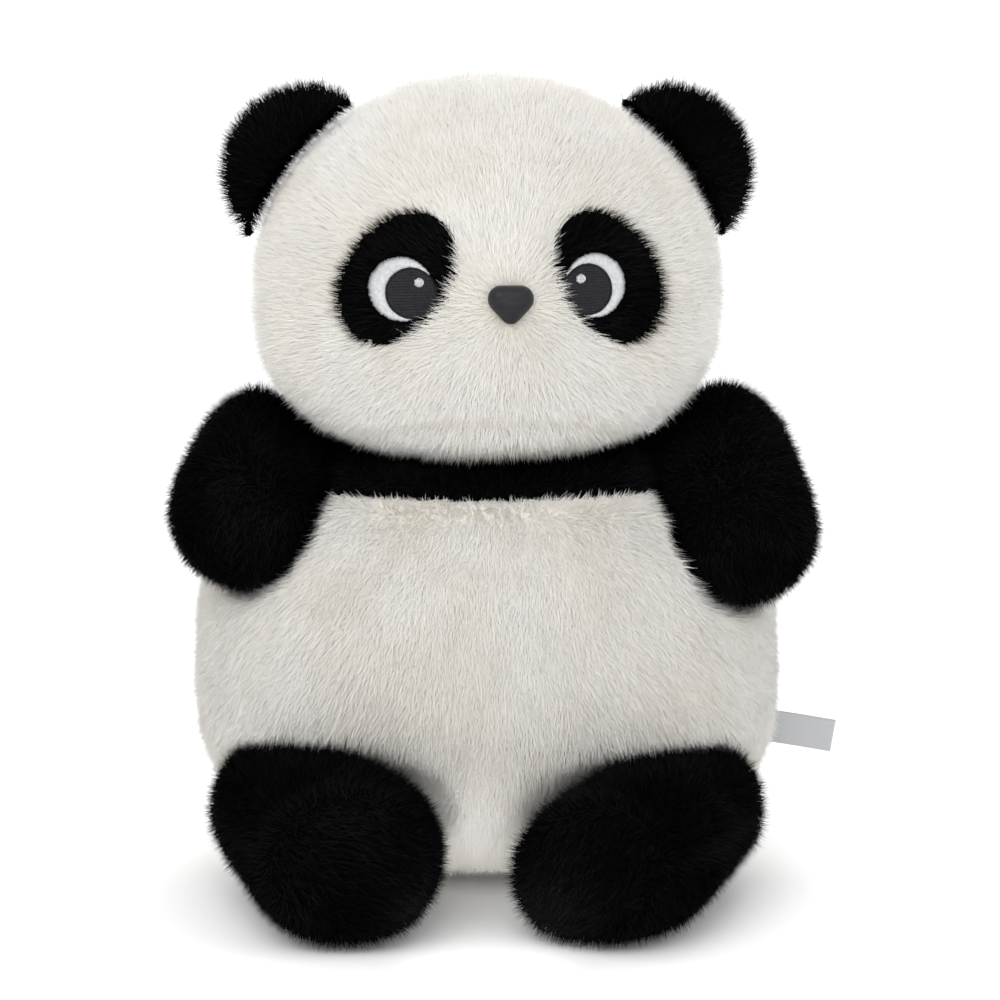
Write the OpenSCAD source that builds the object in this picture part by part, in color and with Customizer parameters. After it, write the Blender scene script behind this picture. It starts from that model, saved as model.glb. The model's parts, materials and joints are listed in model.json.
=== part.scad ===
// Seated plush panda. It faces -Y and its own left hand is at +X.
// The origin is on the flat seat, below the middle of the neck.

/* [Body] */
// Half width of the body at the belly
body_half_w = 116; // [112:1:120]
// Reach of the belly in front of the neck line
body_front = 95; // [90:1:98]
// Reach of the back behind the neck line
body_back = 86; // [82:1:90]
// Height of the widest part of the belly
belly_z = 75; // [72:1:78]
// Height of the shoulders before the head presses them in
shoulder_z = 181; // [178:1:184]
// Height of the lower edge of the black chest band
band_z = 156.5; // [150:0.5:160]

/* [Head] */
// Half width of the head at the cheeks
head_half_w = 91; // [88:1:93]
// Height of the middle of the head above the seat
head_z = 232; // [230:1:235]
// Rise of the crown above the middle of the head
crown_h = 83; // [80:1:86]
// Drop of the chin below the middle of the head
chin_h = 64.5; // [62:0.5:66]
// Turn of the head towards its own left at rest
head_yaw = 5.5; // [0:0.5:8]
// Radius of the round ears
ear_r = 35; // [31:1:36]
// Height of the mouth seam above the seat
mouth_z = 189; // [186:1:192]

/* [Face] */
// Distance of each embroidered eye from the middle of the face
eye_x = 35.6; // [34:0.2:37]
// Radius of the white of the eye
eye_white_r = 11.9; // [11:0.1:13]
// Radius of the iris
iris_r = 9.3; // [8.5:0.1:10]
// Radius of the small white glint
glint_r = 1.7; // [1.2:0.1:2.4]
// Width of the nose
nose_w = 17.2; // [16:0.2:19]

/* [Limbs] */
// Radius of the paw
paw_r = 30; // [29:0.5:31]
// Distance from the shoulder to the middle of the paw
arm_reach = 40; // [37:1:42]
// Radius of the foot
foot_r = 35; // [33:0.5:36]
// Distance from the hip to the middle of the foot
leg_reach = 62; // [60:1:64]

/* [Materials] */
// Thickness of the plush with its pile
plush_t = 4; // [3:0.5:5]
// Width of the seam label's tape
label_w = 13; // [10:0.5:15]
// Length of the seam label outside the seam
label_l = 26; // [20:1:30]

/* [Hidden] */

right = -1;                 // side factor of the panda's own right
left = 1;
cream = [0.93, 0.91, 0.86];
black = [0.05, 0.05, 0.05];
fill_white = [0.97, 0.97, 0.97];

skin_gap = 0.2;             // between a cover and what it holds
seam_gap = 0.05;            // half of the gap between two sewn panels
socket_gap = 1;             // between bodies that move on each other
coarse_gap = 1.3;           // more room where the socket has few facets
big = 400;                  // larger than the toy

// head and neck
head_c = [0, -12, head_z];
head_front = 80;
head_back = 74;
muzzle = [6, 40, 26, -24];  // swell, half width, half height, height from the head's middle
neck_c = [0, -2, 167];
neck_r = 38;
neck_socket_r = neck_r + 2.6;
turns = [-10, 0, 10];       // head turn: its limits and rest
nods = [-6, 0, 8];          // head nod: its limits and rest
side_seam_y = 5;            // seam between the face and the back of the head

// face, in the head's own axes with the origin in the head's middle
eye_z = [5.3, 6.4];         // right, left
eye_shift = -1.9;           // both eyes are sewn on a little towards the right
iris_in = 3.5;              // how far the iris sits towards the nose from the white
iris_down = 1.5;
glint_in = 6.4;
glint_up = 2.4;
patch_x = 38.6;
patch_z = 8.8;
patch_half = [18.8, 26.2];
patch_tilt = 35;
patch_rim = 1.2;            // black left around the iris where it meets the patch's edge
eye_floor = 2.2;            // depth of the embroidery's backing below the pile
nose_x = 1.1;
nose_z = 0.2;
nose_h = 14.4;
stem_r = 2.4;
stem_l = 15;
washer_r = 8;
washer_t = 1.5;
washer_in = 9.5;            // how far behind the nose the washer sits on its stem
washer_pocket = 60;         // where the stuffing's recess for it starts, in front of the head's middle

// ears, in the head's axes
ear_x = [69.5, 72];          // right, left
ear_y = 2;
ear_z = 46;
ear_half_t = 12;
ear_root = [68.8, 2, 44.3];
ear_axis = [-40.5, 0, 52.5];
ear_flex = 12;

// arms: the paw hangs this far below level at rest
shoulder_x = [86, 90];      // right, left
shoulder_y = -10;
shoulder_h = 166;
shoulder_r = [28, 29.5];
arm_drop = [24.7, 36.2];    // right, left
paw_out = [6, 8];           // paw further out than the shoulder
arm_lift = 30;

// legs: turned in by this much at rest
hip_x = 81;
hip_y = -50;
hip_z = 34;
hip_r = 26.5;
foot_z = [30, 27.5];        // right, left
foot_wide = [1.05, 1.11];
foot_tall = [0.95, 0.87];
foot_roll = [0, 25];        // how far the wide axis rises outward
toe_in = [27.4, 28.3];
sole_in = [4, 30];          // direction of the sole
sole_up = -4;
sole_r = 30;
sole_depth = foot_r - 3.5;  // from the middle of the foot to the flat of the sole
leg_splay = [-10, 18];

// tail and label
tail_c = [0, 88, 46];
tail_half = [19, 15, 17];
tail_flex = 10;
label_root = [body_half_w + 0.9, 3, 54];
label_tilt = 9.5;
label_t = 0.5;

function se(v, p) = sign(v) * pow(abs(v), 2 / p);

// One point of an egg. s = [half width, front, back, up, down], p = [upper, lower, plan] exponents.
function egg_point(s, p, tuck, bump, u, t) =
    let (pv = t < 0 ? p[1] : p[0], ring = se(cos(t), pv),
        x = s[0] * ring * se(cos(u), p[2]),
        flat_y = (sin(u) < 0 ? s[1] : s[2]) * ring * se(sin(u), p[2]),
        z = (t < 0 ? s[4] : s[3]) * se(sin(t), pv),
        swell = flat_y < 0 ? bump[0] * (-flat_y / s[1]) : 0,
        y = flat_y - swell * exp(-pow(x / bump[1], 2) - pow((z - bump[3]) / bump[2], 2)))
    [x, y + (z < 0 ? tuck * pow(z / s[4], 2) : 0), z];

module egg(s, p, tuck = 0, bump = [0, 1, 1, 0], nu = 26, nv = 16) {
    body = [for (j = [1 : nv - 1], i = [0 : nu - 1])
        egg_point(s, p, tuck, bump, 360 * (i + 0.5) / nu, -90 + 180 * j / nv)];
    top = len(body) + 1;
    polyhedron(
        concat([egg_point(s, p, tuck, bump, 0, -90)], body, [egg_point(s, p, tuck, bump, 0, 90)]),
        concat(
            [for (i = [0 : nu - 1]) [0, 1 + i, 1 + (i + 1) % nu]],
            [for (j = [0 : nv - 3], i = [0 : nu - 1])
                let (a = 1 + j * nu + i, b = 1 + j * nu + (i + 1) % nu)
                each [[a, a + nu, b + nu], [a, b + nu, b]]],
            [for (i = [0 : nu - 1]) [top - nu + i, top, top - nu + (i + 1) % nu]]));
}

// Turns its children into one triangle mesh, which is all that soft pieces need.
module soft() resize([0, 0, 0]) children();

module about(centre, angle, axis) translate(centre) rotate(angle, axis) translate(-centre) children();

// Half spaces that meet with a sewn gap between them.
module above(z) translate([-big, -big, z + seam_gap]) cube([2 * big, 2 * big, big]);
module below(z) translate([-big, -big, z - seam_gap - big]) cube([2 * big, 2 * big, big]);
module before(y) translate([-big, y - seam_gap - big, -big]) cube([2 * big, big, 2 * big]);
module behind(y) translate([-big, y + seam_gap, -big]) cube([2 * big, big, 2 * big]);
module beside(side, x) {
    reach = side * (x + seam_gap);
    translate([side > 0 ? reach : reach - big, -big, -big]) cube([big, 2 * big, 2 * big]);
}

// ---- outer forms; g grows a form, and a negative g leaves the space inside a cover ----

module in_head() translate(head_c) rotate([0, 0, head_yaw]) children();

module head_egg(g = 0, nu = 26, nv = 16)
    egg([head_half_w + g, head_front + g, head_back + g, crown_h + g, chin_h + g], [2, 2.5, 2.1], 0,
        muzzle, nu, nv);

// The space that the head takes over all its turns and nods, with few facets.
module head_sweep(g)
    hull()
        for (turn = turns, nod = nods)
            translate(neck_c) rotate([0, 0, turn]) rotate([nod, 0, 0]) translate(-neck_c)
                in_head() head_egg(g + coarse_gap, 16, 12);

module neck_socket() translate(neck_c) sphere(neck_socket_r, $fn = 24);

// The value for one side of a [right, left] pair.
function at(pair, side) = side < 0 ? pair[0] : pair[1];

function shoulder_of(side) = [side * at(shoulder_x, side), shoulder_y, shoulder_h];
function paw_of(side) =
    let (drop = at(arm_drop, side))
    shoulder_of(side) + [side * at(paw_out, side), -arm_reach * cos(drop), -arm_reach * sin(drop)];

// A ball whose flats, not its corners, are r from the middle.
module ball(r, n) sphere(r / pow(cos(180 / n), 2), $fn = n);

module arm_hull(side, g = 0)
    hull() {
        translate(shoulder_of(side)) sphere(at(shoulder_r, side) + g, $fn = 18);
        translate(paw_of(side)) sphere(paw_r + g, $fn = 18);
    }

module arm_sweep(side, g)
    hull() {
        translate(shoulder_of(side)) ball(at(shoulder_r, side) + g, 12);
        for (lift = [0, arm_lift / 2, arm_lift])
            about(shoulder_of(side), lift, [-1, 0, 0]) translate(paw_of(side)) ball(paw_r + g, 12);
    }

// The cheeks press into the shoulder wherever the arm and the head can be.
module arm_form(side, g = 0)
    difference() {
        arm_hull(side, g);
        hull()
            for (lift = [0, arm_lift / 2, arm_lift])
                about(shoulder_of(side), lift, [1, 0, 0]) head_sweep(socket_gap - g);
    }

function hip_of(side) = [side * hip_x, hip_y, hip_z];
function foot_of(side) =
    let (toe = at(toe_in, side))
    [side * (hip_x - leg_reach * sin(toe)), hip_y - leg_reach * cos(toe), at(foot_z, side)];

// Axes with the origin in the middle of the foot and -Y through the sole.
module in_foot(side)
    translate(foot_of(side)) rotate([sole_up, 0, -side * at(sole_in, side)]) children();

// Stretches a round foot or sole of radius r to its oval, and grows it by g.
module foot_oval(side, r, g = 0)
    rotate([0, -side * at(foot_roll, side), 0])
        scale([at(foot_wide, side) + g / r, 1 + g / r, at(foot_tall, side) + g / r]) children();

module leg_hull(side, g = 0)
    hull() {
        translate(hip_of(side)) sphere(hip_r + g, $fn = 18);
        translate(foot_of(side)) foot_oval(side, foot_r, g) sphere(foot_r, $fn = 20);
        in_foot(side) foot_oval(side, sole_depth, g) rotate([90, 0, 0])
            cylinder(h = sole_depth, r = sole_r, $fn = 24);
    }

module leg_form(side, g = 0) intersection() { leg_hull(side, g); above(-g - seam_gap); }

module leg_sweep(side, g)
    hull() {
        translate(hip_of(side)) ball(hip_r + g, 12);
        for (splay = [leg_splay[0], 0, leg_splay[1]])
            about(hip_of(side), splay, [0, 0, side]) {
                translate(foot_of(side)) foot_oval(side, foot_r, g + coarse_gap) ball(foot_r, 12);
                in_foot(side) foot_oval(side, sole_depth, g + coarse_gap) rotate([90, 0, 0])
                    cylinder(h = sole_depth, r = sole_r, $fn = 14);
            }
    }

module tail_form(g = 0, n = 16) translate(tail_c) scale(tail_half + [g, g, g]) sphere(1, $fn = n);

module body_egg(g = 0)
    translate([0, 0, belly_z])
        egg([body_half_w + g, body_front + g, body_back + g, shoulder_z - belly_z + g, belly_z + 7 + g],
            [2.8, 2.35, 2.1], 30);

module torso_form(g = 0)
    difference() {
        intersection() { body_egg(g); above(-g - seam_gap); }
        head_sweep(socket_gap - g);
        for (side = [right, left]) {
            arm_sweep(side, socket_gap - g);
            leg_sweep(side, socket_gap - g);
        }
        translate(tail_c) ball(max(tail_half) + socket_gap - g, 12);
    }

module torso_cover() difference() { torso_form(); torso_form(-plush_t); neck_socket(); }

// ---- torso ----

module torso_part(colour) color(colour) soft() intersection() { torso_cover(); children(); }

module seat_panel() torso_part(cream) below(plush_t + 1);
module belly_panel()
    torso_part(cream) intersection() { above(plush_t + 1); below(band_z); before(side_seam_y); }
module back_panel(side)
    torso_part(cream) intersection() {
        above(plush_t + 1);
        below(band_z);
        behind(side_seam_y);
        beside(side, 0);
    }
module chest_band() torso_part(black) intersection() { above(band_z); before(side_seam_y); }
module shoulder_panel() torso_part(black) intersection() { above(band_z); behind(side_seam_y); }

pouch_c = [0, 22, plush_t + skin_gap];
pouch_half = [50, 36, 26];

module pouch_dome(g = 0)
    intersection() {
        translate(pouch_c) scale(pouch_half + [g, g, g]) sphere(1, $fn = 20);
        above(pouch_c[2] - seam_gap - g);
    }

module torso_stuffing()
    color(fill_white) soft() difference() {
        torso_form(-plush_t - skin_gap);
        neck_socket();
        pouch_dome(skin_gap);
        translate([pouch_c[0], pouch_c[1], 0]) cube([big, big, 2 * (pouch_c[2] + skin_gap)], center = true);
    }

pouch_seam_z = pouch_c[2] + 3;
module pouch_cover() difference() { pouch_dome(); pouch_dome(-1); }
module bead_pouch_top()
    color("lightgrey") soft() intersection() { pouch_cover(); above(pouch_seam_z); }
module bead_pouch_bottom()
    color("lightgrey") soft() intersection() { pouch_cover(); below(pouch_seam_z); }
module beads() color("white") soft() pouch_dome(-1 - skin_gap);

// ---- neck ----

neck_half_h = 27;
module neck_sleeve()
    color(black) translate(neck_c) intersection() {
        difference() { sphere(neck_r, $fn = 48); sphere(neck_r - 2.5, $fn = 48); }
        cylinder(h = 2 * neck_half_h, r = neck_r + 1, center = true);
    }
module neck_stuffing() color(fill_white) translate(neck_c) sphere(neck_r - 2.5 - skin_gap, $fn = 48);

// ---- head ----

module face_prism(x, z) translate([x, 0, z]) rotate([90, 0, 0]) linear_extrude(big) children();
module patch_outline(side)
    rotate(side * patch_tilt) scale(patch_half) circle(1, $fn = 32);
module patch_prism(side, g = 0) {
    face_prism(side * patch_x, patch_z) offset(delta = g) patch_outline(side);
    iris_prism(side, patch_rim + g);
}
// A prism from a point near an eye's middle: in towards the nose, and up.
module eye_prism(side, in = 0, up = 0)
    face_prism(side * (eye_x - in) + eye_shift, (side < 0 ? eye_z[0] : eye_z[1]) + up) children();
module white_prism(side) eye_prism(side) circle(eye_white_r, $fn = 30);
module iris_prism(side, g = 0) eye_prism(side, iris_in, -iris_down) circle(iris_r + g, $fn = 30);
module glint_prism(side, g = 0) eye_prism(side, glint_in, glint_up) circle(glint_r + g, $fn = 16);

// The chin's side of the mouth seam, which bows up in the middle.
mouth_bow_r = 240;
module chin_block(g = 0)
    translate([0, side_seam_y + 1, mouth_z - head_z - mouth_bow_r]) rotate([90, 0, 0])
        cylinder(h = big, r = mouth_bow_r + g, $fn = 160);

module head_cover() difference() { in_head() head_egg(); in_head() head_egg(-plush_t); neck_socket(); }

module face_panel()
    color(cream) soft() difference() {
        head_cover();
        in_head() behind(side_seam_y - 2 * seam_gap);
        in_head() for (side = [right, left]) patch_prism(side, seam_gap);
        in_head() chin_block(2 * seam_gap);
        in_nose() {
            nose_body(skin_gap);
            stem(skin_gap);
        }
    }

module chin_panel()
    color(cream) soft() intersection() {
        head_cover();
        in_head() before(side_seam_y);
        in_head() chin_block();
    }

module head_panel(side)
    color(cream) soft() intersection() {
        head_cover();
        in_head() behind(side_seam_y);
        in_head() beside(side, 0);
    }

module head_stuffing()
    color(fill_white) soft() difference() {
        in_head() head_egg(-plush_t - skin_gap);
        neck_socket();
        in_head() translate([nose_x, -washer_pocket, nose_z]) rotate([90, 0, 0])
            cylinder(h = head_front / 2, r = washer_r + washer_t, $fn = 24);
    }

module eye_patch(side)
    color(black) soft() difference() {
        intersection() {
            head_cover();
            in_head() intersection() { patch_prism(side); before(0); }
        }
        in_head() difference() {
            union() { white_prism(side); iris_prism(side, skin_gap); }
            head_egg(-eye_floor - skin_gap);
        }
    }

// A thin embroidered layer whose face stands at the given height from the pile.
module stitched(height)
    soft() in_head() intersection() {
        difference() { head_egg(height); head_egg(-eye_floor); }
        children();
    }

module eye_white(side)
    color([0.8, 0.81, 0.83]) stitched(-0.8) difference() {
        white_prism(side);
        iris_prism(side, seam_gap);
    }
module iris(side)
    color([0.2, 0.2, 0.22]) stitched(-0.4) difference() {
        iris_prism(side);
        glint_prism(side, seam_gap);
    }
module glint(side) color("white") stitched(-0.1) glint_prism(side);

nose_y = -head_front - muzzle[0] * exp(-pow((nose_z - muzzle[3]) / muzzle[2], 2)) + 0.6;

module in_nose() in_head() translate([nose_x, nose_y, nose_z]) children();

// A rounded triangle that points down, and the stem that goes through the face panel.
nose_top_r = 5;
nose_tip_r = 3.8;
nose_bulge_r = 3.6;
module nose_ball(x, z, r) translate([x, -2.2, z]) scale([1, 0.9, 1]) sphere(r, $fn = 18);
module nose_body(g = 0)
    hull() {
        for (side = [right, left])
            nose_ball(side * (nose_w / 2 - nose_top_r), nose_h / 2 - nose_top_r, nose_top_r + g);
        nose_ball(0, nose_tip_r - nose_h / 2, nose_tip_r + g);
        translate([0, -nose_bulge_r, 1]) sphere(nose_bulge_r + g, $fn = 18);
    }
module stem(g = 0) rotate([-90, 0, 0]) cylinder(h = stem_l, r = stem_r + g, $fn = 20);

module nose()
    color([0.2, 0.2, 0.22]) soft() {
        difference() {
            in_nose() nose_body();
            in_head() head_egg(-eye_floor);
        }
        in_nose() stem();
    }

module nose_washer()
    color("white") in_nose() translate([0, washer_in, 0]) rotate([-90, 0, 0])
        difference() {
            cylinder(h = washer_t, r = washer_r, $fn = 32);
            translate([0, 0, -washer_t]) cylinder(h = 3 * washer_t, r = stem_r + skin_gap, $fn = 32);
        }

// ---- ears ----

module ear_disc(side, g = 0)
    translate([side < 0 ? -ear_x[0] : ear_x[1], ear_y, ear_z])
        scale([ear_r + g, ear_half_t + g, ear_r + g]) sphere(1, $fn = 22);

module ear_form(side, g = 0)
    difference() {
        ear_disc(side, g);
        hull()
            for (flex = [-ear_flex, 0, ear_flex])
                about([side * ear_root[0], ear_root[1], ear_root[2]], flex,
                      [side * ear_axis[0], 0, ear_axis[2]])
                    head_egg(socket_gap + coarse_gap - g, 20, 14);
    }

ear_wall = 3;
module ear_part(side, front)
    color(black) soft() in_head() intersection() {
        difference() { ear_form(side); ear_form(side, -ear_wall); }
        if (front) before(ear_y); else behind(ear_y);
    }
module ear_stuffing(side) color(fill_white) soft() in_head() ear_form(side, -ear_wall - skin_gap);

// ---- arms ----

module arm_part(side, outer)
    color(black) soft() intersection() {
        difference() { arm_form(side); arm_form(side, -plush_t); }
        if (outer) beside(side, at(shoulder_x, side));
        else beside(-side, -at(shoulder_x, side));
    }
module arm_stuffing(side) color(fill_white) soft() arm_form(side, -plush_t - skin_gap);

// ---- legs ----

module leg_cover(side) difference() { leg_form(side); leg_form(side, -plush_t); }
sole_seam = foot_r - plush_t - 5;
module sole_block(side)
    in_foot(side) translate([-big / 2, -sole_seam - big, -big / 2]) cube([big, big, big]);

module leg_part(side, upper)
    color(black) soft() difference() {
        intersection() {
            leg_cover(side);
            if (upper) above(hip_z); else below(hip_z);
        }
        translate([0, 0.1, 0]) sole_block(side);
    }
module foot_sole(side) color(black) soft() intersection() { leg_cover(side); sole_block(side); }
module leg_stuffing(side) color(fill_white) soft() leg_form(side, -plush_t - skin_gap);

// ---- tail and label ----

tail_open_y = tail_c[1] - 6;
module tail_panel()
    color(cream) soft() intersection() {
        difference() { tail_form(); tail_form(-plush_t); }
        behind(tail_open_y);
    }
module tail_stuffing() color(fill_white) soft() tail_form(-plush_t - skin_gap);

// A folded tape: two layers that meet at the outer end.
module seam_label()
    color("silver") translate(label_root) rotate([0, label_tilt, 0])
        translate([0, 0, -label_w / 2]) linear_extrude(label_w) difference() {
            translate([0, -label_t - 0.1]) square([label_l, 2 * label_t + 0.2]);
            translate([-1, -0.1]) square([label_l + 1 - label_t, 0.2]);
        }

belly_panel();
back_panel(right);  // right_back_panel
back_panel(left);  // left_back_panel
chest_band();
shoulder_panel();
seat_panel();
torso_stuffing();
bead_pouch_top();
bead_pouch_bottom();
beads();
neck_sleeve();
neck_stuffing();
face_panel();
chin_panel();
head_panel(right);  // right_head_panel
head_panel(left);  // left_head_panel
head_stuffing();
eye_patch(right);  // right_eye_patch
eye_patch(left);  // left_eye_patch
eye_white(right);  // right_eye_white
eye_white(left);  // left_eye_white
iris(right);  // right_iris
iris(left);  // left_iris
glint(right);  // right_glint
glint(left);  // left_glint
nose();
nose_washer();
ear_part(right, true);  // right_ear_front
ear_part(left, true);  // left_ear_front
ear_part(right, false);  // right_ear_back
ear_part(left, false);  // left_ear_back
ear_stuffing(right);  // right_ear_stuffing
ear_stuffing(left);  // left_ear_stuffing
arm_part(right, true);  // right_arm_outer
arm_part(left, true);  // left_arm_outer
arm_part(right, false);  // right_arm_inner
arm_part(left, false);  // left_arm_inner
arm_stuffing(right);  // right_arm_stuffing
arm_stuffing(left);  // left_arm_stuffing
leg_part(right, true);  // right_leg_upper
leg_part(left, true);  // left_leg_upper
leg_part(right, false);  // right_leg_under
leg_part(left, false);  // left_leg_under
foot_sole(right);  // right_foot_sole
foot_sole(left);  // left_foot_sole
leg_stuffing(right);  // right_leg_stuffing
leg_stuffing(left);  // left_leg_stuffing
tail_panel();
tail_stuffing();
seam_label();
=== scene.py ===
import json
import math

import bpy
import numpy as np
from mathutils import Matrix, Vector
from mathutils.bvhtree import BVHTree


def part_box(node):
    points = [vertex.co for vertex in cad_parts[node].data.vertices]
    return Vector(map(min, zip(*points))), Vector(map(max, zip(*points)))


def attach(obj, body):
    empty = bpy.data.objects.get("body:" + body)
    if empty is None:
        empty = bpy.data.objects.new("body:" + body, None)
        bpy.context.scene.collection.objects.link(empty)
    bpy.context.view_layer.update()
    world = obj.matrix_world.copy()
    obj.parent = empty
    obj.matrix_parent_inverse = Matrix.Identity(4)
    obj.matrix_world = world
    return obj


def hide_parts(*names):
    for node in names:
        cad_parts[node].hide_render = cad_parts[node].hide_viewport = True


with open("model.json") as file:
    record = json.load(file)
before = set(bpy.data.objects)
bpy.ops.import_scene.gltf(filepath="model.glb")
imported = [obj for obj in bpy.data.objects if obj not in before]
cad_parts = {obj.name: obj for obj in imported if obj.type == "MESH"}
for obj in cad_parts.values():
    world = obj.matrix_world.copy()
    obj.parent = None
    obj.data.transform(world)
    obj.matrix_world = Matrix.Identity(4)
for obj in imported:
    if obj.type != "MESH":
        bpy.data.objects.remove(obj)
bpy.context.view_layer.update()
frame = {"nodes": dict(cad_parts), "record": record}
NODES = frame["nodes"]

# All lengths below are millimetres, and MM turns them into Blender's metres.
MM = 0.001
SIDES = {"right": -1, "left": 1}
scene = bpy.context.scene
rng = np.random.default_rng(414)


# ---------------------------------------------------------------- materials

def principled(name, colour, rough, **constants):
    """A Principled material; constants are its other sockets by name, with _ for a space."""
    m = bpy.data.materials.new(name)
    m.use_nodes = True
    b = m.node_tree.nodes["Principled BSDF"]
    b.inputs["Base Color"].default_value = (*colour, 1)
    b.inputs["Roughness"].default_value = rough
    for key, value in constants.items():
        b.inputs[key.replace("_", " ")].default_value = value
    return m


def noise_colour(m, dark, light, scale, detail=4.0):
    """Varies a material's colour between two tones by an object-space noise."""
    t = m.node_tree
    b = t.nodes["Principled BSDF"]
    place = t.nodes.new("ShaderNodeTexCoord")
    noise = t.nodes.new("ShaderNodeTexNoise")
    noise.inputs["Scale"].default_value = scale
    noise.inputs["Detail"].default_value = detail
    ramp = t.nodes.new("ShaderNodeValToRGB")
    ramp.color_ramp.elements[0].position = 0.35
    ramp.color_ramp.elements[0].color = (*dark, 1)
    ramp.color_ramp.elements[1].position = 0.65
    ramp.color_ramp.elements[1].color = (*light, 1)
    t.links.new(place.outputs["Object"], noise.inputs["Vector"])
    t.links.new(noise.outputs["Fac"], ramp.inputs["Fac"])
    t.links.new(ramp.outputs["Color"], b.inputs["Base Color"])
    return m


# Linear tints of the pile, from warm to pale, for its undercoat and for its longer tips.
CREAM_ROOTS = [(0.83, 0.785, 0.70), (0.85, 0.815, 0.75), (0.86, 0.84, 0.79)]
CREAM_TIPS = [(0.855, 0.835, 0.79), (0.87, 0.86, 0.825), (0.88, 0.875, 0.855)]
BLACK_ROOTS = [(0.0010, 0.0010, 0.0011), (0.0015, 0.0015, 0.0017), (0.0023, 0.0023, 0.0026)]
BLACK_TIPS = [(0.0026, 0.0026, 0.0029), (0.0045, 0.0045, 0.005), (0.009, 0.009, 0.0098)]


def pile_looks(colour, roots, tips, shine):
    """Six materials: three tints of undercoat, then three of tips."""
    low = [principled(f"{colour}_root_{i}", c, 0.8, Specular_IOR_Level=0.3 * shine)
           for i, c in enumerate(roots)]
    high = [principled(f"{colour}_tip_{i}", c, 0.6, Specular_IOR_Level=shine)
            for i, c in enumerate(tips)]
    return low + high


fur_looks = {"cream": pile_looks("cream", CREAM_ROOTS, CREAM_TIPS, 0.12),
             "black": pile_looks("black", BLACK_ROOTS, BLACK_TIPS, 0.025)}
cream_backing = noise_colour(principled("cream_backing", (0.8, 0.77, 0.7), 0.9),
                             (0.76, 0.71, 0.62), (0.84, 0.81, 0.75), 260)
black_backing = noise_colour(principled("black_backing", (0.002, 0.002, 0.002), 0.9,
                                        Specular_IOR_Level=0.02),
                             (0.001, 0.001, 0.001), (0.002, 0.002, 0.0022), 260)


# ---------------------------------------------------------------- mesh helpers

def mesh_arrays(mesh):
    """Vertex positions in millimetres and the triangles of a mesh, as arrays."""
    co = np.empty(len(mesh.vertices) * 3)
    mesh.vertices.foreach_get("co", co)
    mesh.calc_loop_triangles()
    tri = np.empty(len(mesh.loop_triangles) * 3, np.int32)
    mesh.loop_triangles.foreach_get("vertices", tri)
    return co.reshape(-1, 3) / MM, tri.reshape(-1, 3)


def new_mesh(name, co, faces, smooth=True):
    """A mesh object from positions in millimetres and an array of equal faces."""
    faces = np.asarray(faces, np.int32)
    sides = faces.shape[1]
    mesh = bpy.data.meshes.new(name)
    mesh.vertices.add(len(co))
    mesh.vertices.foreach_set("co", (np.asarray(co, np.float32) * np.float32(MM)).ravel())
    mesh.loops.add(faces.size)
    mesh.loops.foreach_set("vertex_index", faces.ravel())
    mesh.polygons.add(len(faces))
    mesh.polygons.foreach_set("loop_start", np.arange(0, faces.size, sides, dtype=np.int32))
    mesh.polygons.foreach_set("use_smooth", np.full(len(faces), smooth))
    mesh.update(calc_edges=True)
    obj = bpy.data.objects.new(name, mesh)
    scene.collection.objects.link(obj)
    return obj


def evaluated(obj):
    dg = bpy.context.evaluated_depsgraph_get()
    return bpy.data.meshes.new_from_object(obj.evaluated_get(dg))


def largest_island(co, quads):
    """Keeps the connected piece with the most faces."""
    label = np.arange(len(co))
    while True:
        low = label[quads].min(1)
        new = label.copy()
        np.minimum.at(new, quads.ravel(), np.repeat(low, quads.shape[1]))
        new = new[new]
        if (new == label).all():
            break
        label = new
    face_label = label[quads[:, 0]]
    names, counts = np.unique(face_label, return_counts=True)
    quads = quads[face_label == names[counts.argmax()]]
    used = np.unique(quads)
    index = np.full(len(co), -1)
    index[used] = np.arange(len(used))
    return co[used], index[quads]


def edges_of(faces):
    sides = faces.shape[1]
    e = np.concatenate([faces[:, [i, (i + 1) % sides]] for i in range(sides)])
    return np.unique(np.sort(e, 1), axis=0)


def spread(values, edges, count):
    """Mean over each vertex's neighbours."""
    total = np.zeros_like(values)
    for k in range(values.shape[1]):
        total[:, k] = (np.bincount(edges[:, 0], values[edges[:, 1], k], len(values))
                       + np.bincount(edges[:, 1], values[edges[:, 0], k], len(values)))
    return total / count[:, None]


def smoothed(co, faces, rounds, keep=True):
    """Smooths a mesh; keep holds its volume by pushing back after every round."""
    e = edges_of(faces)
    count = np.maximum(1, np.bincount(e.ravel(), minlength=len(co))).astype(float)
    for _ in range(rounds):
        co = co + 0.6 * (spread(co, e, count) - co)
        if keep:
            co = co - 0.61 * (spread(co, e, count) - co)
    return co


def vertex_normals(co, faces):
    a, b, c = co[faces[:, 0]], co[faces[:, 1]], co[faces[:, 2]]
    d = co[faces[:, 3]] if faces.shape[1] == 4 else a
    n = np.cross(c - a, d - b) if faces.shape[1] == 4 else np.cross(b - a, c - a)
    out = np.zeros_like(co)
    for k in range(3):
        out[:, k] = sum(np.bincount(faces[:, i], n[:, k], len(co)) for i in range(faces.shape[1]))
    return out / np.maximum(1e-12, np.linalg.norm(out, axis=1))[:, None]


def unit(v):
    return v / np.maximum(1e-12, np.linalg.norm(v, axis=-1, keepdims=True))


def merged(meshes):
    """Several (positions, triangles) pairs as one."""
    co, tri, base = [], [], 0
    for v, t in meshes:
        co.append(v)
        tri.append(t + base)
        base += len(v)
    return np.concatenate(co), np.concatenate(tri)


def cad_arrays(nodes):
    """The given CAD nodes as one pair of positions in millimetres and triangles."""
    return merged(mesh_arrays(NODES[n].data) for n in nodes)


def tree_of(co, tri):
    return BVHTree.FromPolygons(co.tolist(), tri.tolist())


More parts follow.
